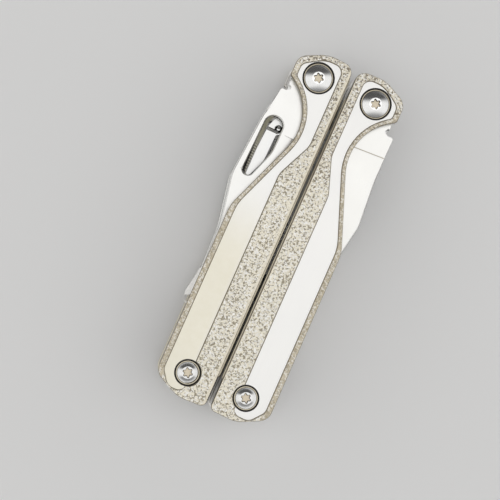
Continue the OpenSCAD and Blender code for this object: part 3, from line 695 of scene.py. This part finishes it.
def ring(bm, radius, z):
    """A closed row of points whose radius may depend on the angle."""
    row = []
    for turn in range(TURNS):
        angle = 2 * math.pi * turn / TURNS
        r = radius(angle) if callable(radius) else radius
        row.append(bm.verts.new(Vector((r * math.cos(angle), r * math.sin(angle), z)) * MM))
    return row


def skin(bm, rows, material=0):
    """Joins rows of points one after the other."""
    for first, second in zip(rows, rows[1:]):
        for turn in range(TURNS):
            after = (turn + 1) % TURNS
            face = bm.faces.new((first[turn], first[after], second[after], second[turn]))
            face.material_index = material


def lobes(grow):
    return lambda angle: SOCKET_R + grow + LOBE * math.cos(6 * angle)


def domed_head(bm, r):
    """Socket floor and wall, flat crown, falling dome, groove, bead, outer edge and underside."""
    crown = HALF_T - CROWN_DROP
    dome_r = r - FLANGE
    floor = ring(bm, lobes(-SOCKET_TAPER), crown - SOCKET_DEPTH)
    wall = ring(bm, lobes(0), crown - SOCKET_BRIM)
    brim = ring(bm, lobes(SOCKET_BRIM), crown)
    dome = [brim]
    for step in range(DOME_STEPS + 1):
        radius = FLAT_R + (dome_r - FLAT_R) * step / DOME_STEPS
        fallen = (radius ** 2 - FLAT_R ** 2) / (dome_r ** 2 - FLAT_R ** 2)
        dome.append(ring(bm, radius, crown - DOME_DROP * fallen))
    # Painted shade: the socket's wall, the groove round the dome and the outer edge are black
    skin(bm, [floor, wall], BOLT_SHADE)
    skin(bm, [wall, brim])
    skin(bm, dome)
    bm.faces.new(floor).material_index = BOLT_SOCKET
    foot = crown - DOME_DROP
    flange = [dome[-1]] + [ring(bm, r - inset, foot - drop) for inset, drop in FLANGE_STEPS]
    skin(bm, flange[:3], BOLT_SHADE)
    skin(bm, flange[2:5], BOLT_BEAD)
    skin(bm, flange[4:], BOLT_SHADE)
    under = ring(bm, r, SEAT)
    skin(bm, [flange[-1], under])
    bm.faces.new(under[::-1])


def shank(bm, r, bore, low, high):
    """A closed tube, or a rod where there is no bore."""
    outer = [ring(bm, r - END_CHAMFER, low), ring(bm, r, low + END_CHAMFER), ring(bm, r, high)]
    skin(bm, outer[::-1])
    if bore:
        inner = [ring(bm, bore, low), ring(bm, bore, high)]
        skin(bm, inner)
        skin(bm, [outer[0], inner[0]])
        skin(bm, [inner[1], outer[2]])
    else:
        bm.faces.new(outer[0][::-1])
        bm.faces.new(outer[2])


def place(bm, x, y, rear):
    """Moves a part drawn on its own axis to its bolt hole, front or rear."""
    for vertex in bm.verts:
        vertex.co.z *= -1 if rear else 1
        vertex.co += Vector((x, y, HALF_T)) * MM
    if rear:
        bmesh.ops.reverse_faces(bm, faces=bm.faces)
    bmesh.ops.recalc_face_normals(bm, faces=bm.faces)


polished = polished_steel()
lit_socket = lit_socket_steel()
bolt_finishes = [polished, black_shade, lit_socket, lip_tan]
for end, y, head_r, barrel_r, screw_r in BOLTS:
    for side, x in [("left", -BOLT_X), ("right", BOLT_X)]:
        bolt = f"{side}_{end}"
        screw = bmesh.new()
        domed_head(screw, head_r)
        shank(screw, screw_r, 0, -SCREW_DEEP, SEAT)
        place(screw, x, y, rear=False)
        piece(bolt + "_button_screw", screw, bolt + "_bolt", "bolt_steel", *bolt_finishes)
        nut = bmesh.new()
        domed_head(nut, head_r)
        shank(nut, barrel_r, screw_r + THREAD_GAP, BARREL_GAP - SEAT, SEAT)
        place(nut, x, y, rear=True)
        piece(bolt + "_barrel_nut", nut, bolt + "_nut", "bolt_steel", *bolt_finishes)


# ---------------------------------------------------------------- washers and sleeves
# Bronze washers space the inner tools on the tail bolts, and a bronze sleeve lines the eye of
# each plier jaw where it turns on a head bolt. Turning marks run round them.


def turned_bronze():
    finish = Finish("turned_bronze")
    tarnish = finish.noise(2.5, 3)
    rings = finish.noise(0.08, 2, stretch=(20, 20, 1))
    finish.colour(finish.blend(tarnish, (0.62, 0.45, 0.22), (0.42, 0.29, 0.14)))
    finish.roughness(0.3 + tarnish * 0.2)
    finish.relief(rings * 0.006)
    return finish.material


bronze = turned_bronze()
for node in ["left_tool_washers", "right_tool_washers", "left_sleeve", "right_sleeve"]:
    steel_part(node, "bronze", bronze, 0.06)


# ---------------------------------------------------------------- knives
# The plain knife and, behind it, the serrated one are ground from stainless sheet. Each has a
# hump with a long thumb hole, and the serrated knife a cord hook on its spine. The flats are
# finely ground, and the hole and the spine over the hump are chamfered.

ALONG = (1, 45, 1)
ACROSS = (45, 1, 1)
OUTER_X = 16.6
HOLE_X = (11.4, 17.8)
HOLE_Y = (10.9, 30.3)
HOLE_CHAMFER = 0.38
SPINE_IN = 0.4
SPINE_Y = (-15, 31)
SPINE_CHAMFER = 0.55
EDGE_ROUND = 0.07
TANG_X = 6
STEEP = 0.6
LEVEL = 0.97
# How far the foot of the hole's outer wall leans in, from where across the tool and over what run.
# The foot is what lies nearer the tool's middle plane than FOOT_Z.
WALL_LEAN = 1.05
WALL_FROM = 15
WALL_RUN = 1.5
FOOT_Z = 6
NOTCHED_X = -15.3
# Where on the wall the notches start, the straw colour clears and the painted black shadow sets in
NOTCH_START = (22.5, 19.5)
STRAW_CLEAR = (23, 19)
SHADOW_START = (22, 20)
SHADOW_TOP = (17.35, 17.65)
SHADOW_SLOPE = 0.12
# Where the corners of the hook's outer edge are along the tool, and where they are drawn down to
HOOK_FROM = [-12.0, -12.42, -15.56, -17.8, -21.76, -23.67]
HOOK_TO = [-12.0, -13.2, -19.4, -23.8, -24.9, -26.2]
HOOK_X = 16.5
HOOK_THIN = 0.6
MOUTH_X = 13.5
MOUTH_Y = (-23.4, -20.5)
MOUTH_DROP = 3.3
KNIFE_EDGE, KNIFE_SHADE, KNIFE_NOTCHES = 1, 2, 3

blade_steel = satin_steel("blade_steel", (0.90, 0.895, 0.875), 0.3, ALONG, scratch=0.05)
edge_steel = satin_steel("edge_steel", (0.78, 0.78, 0.76), 0.26, ACROSS, scratch=0.12)


def notched_steel():
    """The thumb hole's leaning wall: straw, notched across, with a painted black shadow low down.
    """
    finish = Finish("notched_steel", metallic=0.2)
    x, y, z = finish.axes()
    slanting = (y * 8.4 + x * 3 + z * 2).math("SINE")
    notches = finish.step(slanting, 0.1, 0.6) * finish.step(y, *NOTCH_START)
    shade = finish.noise(1.2, 2)
    # Painted shadow: a black wedge, high on the wall and widening towards the tail
    sloping = z + (SHADOW_START[0] - y) * SHADOW_SLOPE
    black = finish.step(sloping, *SHADOW_TOP) * finish.step(y, *SHADOW_START)
    straw = finish.blend(finish.step(y, *STRAW_CLEAR), (0.52, 0.49, 0.36), (0.84, 0.81, 0.70))
    colour = finish.blend(shade * 0.4, straw, (0.66, 0.63, 0.50))
    colour = finish.blend(notches * 0.8, colour, (0.16, 0.14, 0.08))
    finish.colour(finish.blend(black, colour, BLACK))
    finish.roughness(0.34 + notches * 0.1)
    finish.relief(notches * -0.04)
    return finish.material


notched = notched_steel()


def in_thumb_hole(x, y):
    return HOLE_X[0] < abs(x) < HOLE_X[1] and HOLE_Y[0] < y < HOLE_Y[1]


def on_spine(x, y):
    """The chamfered stretch of the spine, from above the hump to where it goes under the scale."""
    outside = abs(x) > OUTER_X - SPINE_IN and not in_thumb_hole(x, y)
    return outside and SPINE_Y[0] < y < SPINE_Y[1]


def draw_down_hook(bm):
    """Sets the cord hook closer to the tip, with a narrow mouth and less stand over the spine."""
    for vertex in bm.verts:
        x, y, z = vertex.co / MM
        if x < -HOOK_X and HOOK_FROM[-1] - 0.1 < y < HOOK_FROM[0]:
            last = len(HOOK_FROM) - 1
            after = next((i for i, level in enumerate(HOOK_FROM) if level < y), last)
            share = (y - HOOK_FROM[after - 1]) / (HOOK_FROM[after] - HOOK_FROM[after - 1])
            y = HOOK_TO[after - 1] + share * (HOOK_TO[after] - HOOK_TO[after - 1])
            x = -OUTER_X - (-x - OUTER_X) * HOOK_THIN
        elif x < -MOUTH_X and MOUTH_Y[0] < y < MOUTH_Y[1]:
            y -= MOUTH_DROP
        vertex.co = Vector((x, y, z)) * MM


def lean_thumb_wall(bm):
    """The outer wall of the thumb hole leans in under the blade, so that a nail finds it."""
    for vertex in bm.verts:
        x, y, z = vertex.co / MM
        if in_thumb_hole(x, y) and z < HALF_T + FOOT_Z:
            vertex.co.x += WALL_LEAN * min(1, max(0, (-x - WALL_FROM) / WALL_RUN)) * MM


def knife(node):
    """The thumb hole's walls are marked before its edges are chamfered, and all else after."""
    bm = solid_of(node)
    if node == "serrated_knife":
        draw_down_hook(bm)
    else:
        lean_thumb_wall(bm)
    # Painted shade: the thumb hole's walls are black, all but the notched outer wall
    for face in bm.faces:
        middle = face.calc_center_median() / MM
        if in_thumb_hole(middle.x, middle.y) and abs(face.normal.z) < UPRIGHT:
            face.material_index = KNIFE_NOTCHES if middle.x < NOTCHED_X else KNIFE_SHADE
    soften(bm, HOLE_CHAMFER, lambda x, y, z: in_thumb_hole(x, y), 1)
    soften(bm, SPINE_CHAMFER, lambda x, y, z: on_spine(x, y), 2)
    soften(bm, EDGE_ROUND, lambda x, y, z: not on_spine(x, y) and abs(x) > TANG_X)
    for face in bm.faces:
        face.normal_update()
        middle = face.calc_center_median() / MM
        if not (in_thumb_hole(middle.x, middle.y) and abs(face.normal.z) < STEEP):
            face.material_index = KNIFE_EDGE if abs(face.normal.z) < LEVEL else 0
    piece(node + "_blade", bm, node, "blade_steel", blade_steel, edge_steel, black_shade, notched)


for node in ["knife", "serrated_knife"]:
    knife(node)


# ---------------------------------------------------------------- saw and file
# The wood saw and the file are blanked from the same stock, with a step at the heel. A gauge line
# is scribed across the saw's heel, and the file's teeth are cut across both faces.

GAUGE_Y = 30.52
GAUGE_SLOPE = 0.056
GAUGE_START = (5, 6)
GAUGE_EDGE = (0.14, 0.05)
PIT = (14.9, 39.0)
PIT_NARROW = 1.6
PIT_EDGE = (0.75, 0.35)
BACK_Y = (-20, 37)
BACK_CHAMFER = 0.4
BLANK_ROUND = 0.06
SLANTED = (0.1, 0.995)
BLANK_EDGE = 1


def scribed_steel():
    finish = Finish("scribed_saw_steel")
    x, y, _ = finish.axes()
    lines = finish.noise(0.07, 3, stretch=ALONG)
    clouds = finish.noise(7, 3)
    off_line = (y - GAUGE_Y - x * GAUGE_SLOPE).math("ABSOLUTE")
    scribed = finish.step(off_line, *GAUGE_EDGE) * finish.step(x, *GAUGE_START)
    off_pit = distance((x - PIT[0]) * PIT_NARROW, y - PIT[1])
    # Painted shade: a dark oval stands for the shade in a small pit at the heel
    pit_shade = finish.step(off_pit, *PIT_EDGE)
    colour = finish.blend(lines * 0.1, (0.90, 0.895, 0.87), (0.60, 0.58, 0.54))
    colour = finish.blend(scribed * 0.7, colour, (0.40, 0.33, 0.20))
    colour = finish.blend(pit_shade * 0.85, colour, (0.08, 0.08, 0.075))
    finish.colour(colour)
    finish.roughness(0.22 + lines * 0.1 + clouds * 0.06)
    finish.relief(lines * 0.004 - scribed * 0.03)
    return finish.material


def on_back(x, y):
    return abs(x) > OUTER_X - SPINE_IN and BACK_Y[0] < y < BACK_Y[1]


def blade_blank(node, slot, material):
    """The chamfers and other slanted faces are ground, the flats and the cut edges are not."""
    bm = solid_of(node)
    soften(bm, BACK_CHAMFER, lambda x, y, z: on_back(x, y), 1)
    soften(bm, BLANK_ROUND, lambda x, y, z: not on_back(x, y))
    for face in bm.faces:
        face.normal_update()
        slanted = SLANTED[0] < abs(face.normal.z) < SLANTED[1]
        face.material_index = BLANK_EDGE if slanted else 0
    piece(node + "_blade", bm, node, slot, material, edge_steel)


file_steel = satin_steel("file_steel", (0.74, 0.74, 0.73), 0.38, length=(30, 1, 1))
blade_blank("saw", "blade_steel", scribed_steel())
blade_blank("file", "blade_steel", file_steel)


# ---------------------------------------------------------------- pliers
# Two investment-cast jaws cross at a riveted half lap. They are bead-blasted all over, with
# grooves across the gripping faces of the noses.


def cast_steel():
    finish = Finish("cast_plier_steel")
    grain = finish.noise(0.14, 2)
    clouds = finish.noise(5, 3)
    finish.colour(finish.blend(clouds, (0.66, 0.65, 0.63), (0.56, 0.55, 0.53)))
    finish.roughness(0.38 + grain * 0.12)
    finish.relief(grain * 0.016)
    return finish.material


plier_steel = cast_steel()
for node in ["jaw_a", "jaw_b", "plier_rivet"]:
    steel_part(node, "plier_steel", plier_steel, 0.14)


# ---------------------------------------------------------------- scissors
# Spring-action scissors on the left tail bolt: a fixed blade, a lever arm that crosses it on a
# rivet, and a wire-thin leaf that pushes the arm open again.

tool_steel = satin_steel("tool_steel", (0.76, 0.755, 0.74), 0.32, length=(1, 30, 1))
for node in ["scissor_blade", "scissor_arm", "scissor_rivet"]:
    steel_part(node, "tool_steel", tool_steel, 0.09)
steel_part("scissor_spring", "tool_steel", spring_steel, 0.05)


# ---------------------------------------------------------------- bit drivers
# Two drivers with sockets for flat bits. The bits are hardened and phosphated nearly black, and a
# leaf clip on the large driver keeps its bit from falling out.


def phosphated_steel():
    finish = Finish("phosphated_bit", metallic=0.85)
    bloom = finish.noise(0.8, 4)
    smoother_lighter = finish.step(finish.noise(2.2, 3), 0.55, 0.7)
    colour = finish.blend(bloom, (0.13, 0.13, 0.135), (0.20, 0.20, 0.20))
    finish.colour(finish.blend(smoother_lighter * 0.4, colour, (0.42, 0.41, 0.40)))
    finish.roughness(0.5 - smoother_lighter * 0.12)
    finish.relief(bloom * 0.01)
    return finish.material


phosphated = phosphated_steel()
for node in ["small_driver", "large_driver"]:
    steel_part(node, "tool_steel", tool_steel, 0.1)
for node in ["small_bit", "large_bit"]:
    steel_part(node, "bit_steel", phosphated, 0.08)
steel_part("bit_clip", "tool_steel", spring_steel, 0.04)


# ---------------------------------------------------------------- opener and lanyard ring
# A can and bottle opener with its hook and a flat ring for a lanyard turn on the right tail bolt.
# Both are stamped and tumbled.

steel_part("opener", "tool_steel", tool_steel, 0.12)
steel_part("lanyard_ring", "tool_steel", liner_steel, 0.15)


# ---------------------------------------------------------------- studio
# A plain pale floor lies under the tool, with one soft lamp over it. The sky is bright overhead
# and dims well down towards the head and the tail, so that the domed bolts show both. It is pale
# again low down, where only a low view sees it past the floor.

# The tool leans to the right in the view, and the camera stands a little aside of the upright
LEAN = math.radians(23.96)
VIEW_TILT = math.radians(-3)
VIEW_NOD = math.radians(-3.7)
VIEW_WIDTH = 135.5
DISTANCE = 380
SENSOR = 36
CLIP_START = 10
TARGET = (-6.7, -6.82, 2 * HALF_T)
FLOOR_HALF = 600
LAMP_AT = (0, 150, 500)
LAMP_SIZE = 220
LAMP_POWER = 0.045
SKY_TILT = math.radians(2)
HORIZON = 0.92

view_up = Vector((-math.sin(LEAN), math.cos(LEAN), 0))
sight = Vector((math.tan(VIEW_TILT), math.tan(VIEW_NOD), 1)).normalized()
view_up = (view_up - sight * view_up.dot(sight)).normalized()
view_right = view_up.cross(sight)

camera = bpy.data.objects.new("camera", bpy.data.cameras.new("camera"))
bpy.context.scene.collection.objects.link(camera)
camera.data.lens = SENSOR * DISTANCE / VIEW_WIDTH
camera.data.sensor_width = SENSOR
camera.data.clip_start = CLIP_START * MM
camera.location = (Vector(TARGET) + sight * DISTANCE) * MM
camera.rotation_mode = "QUATERNION"
turned = Matrix((view_right, view_up, sight)).transposed()
camera.rotation_quaternion = turned.to_quaternion()
bpy.context.scene.camera = camera

floor_mesh = bpy.data.meshes.new("floor")
corners = [(-1, -1), (1, -1), (1, 1), (-1, 1)]
floor_points = [(x * FLOOR_HALF * MM, y * FLOOR_HALF * MM, 0) for x, y in corners]
floor_mesh.from_pydata(floor_points, [], [(0, 1, 2, 3)])
floor = bpy.data.objects.new("floor", floor_mesh)
bpy.context.scene.collection.objects.link(floor)
paper = Finish("floor_paper", metallic=0.0)
paper.colour((0.88, 0.88, 0.88))
paper.roughness(0.9)
floor_mesh.materials.append(paper.material)

world = bpy.data.worlds.new("studio")
bpy.context.scene.world = world
world.use_nodes = True
sky = Wiring(world.node_tree)
ray = sky.node("ShaderNodeTexCoord", out="Generated")


def along(axis, low, high, at_low, at_high):
    """Sky strength that changes smoothly with how far a direction points along the axis."""
    inputs = {0: ray, 1: axis}
    facing = sky.node("ShaderNodeVectorMath", {"operation": "DOT_PRODUCT"}, inputs, "Value")
    return sky.step(facing, low, high, at_low, at_high)


head_way = Vector((view_up.x, view_up.y, 0)).normalized()
overhead = (Vector((0, 0, 1)) - head_way * math.tan(SKY_TILT)).normalized()
bright_cap = along(overhead, 0.35, 0.75, 0.7, 1.0)
head_shade = along(head_way, 0.22, 0.48, 1.0, 0.08)
tail_shade = along(head_way, -0.54, -0.26, 0.26, 1.0)
upper_sky = bright_cap * (head_shade * tail_shade)
background = world.node_tree.nodes["Background"]
sky.plug(background.inputs["Color"], (1.0, 0.995, 0.985))
sky.plug(background.inputs["Strength"], along((0, 0, 1), 0.42, 0.62, HORIZON, upper_sky))

lamp = bpy.data.objects.new("softbox", bpy.data.lights.new("softbox", "AREA"))
bpy.context.scene.collection.objects.link(lamp)
lamp.data.size = LAMP_SIZE * MM
lamp.data.energy = LAMP_POWER
lamp.location = Vector(LAMP_AT) * MM
lamp.rotation_mode = "QUATERNION"
lamp.rotation_quaternion = Vector(LAMP_AT).to_track_quat("Z", "Y")

bpy.context.scene.view_settings.view_transform = "Standard"

bpy.context.view_layer.update()
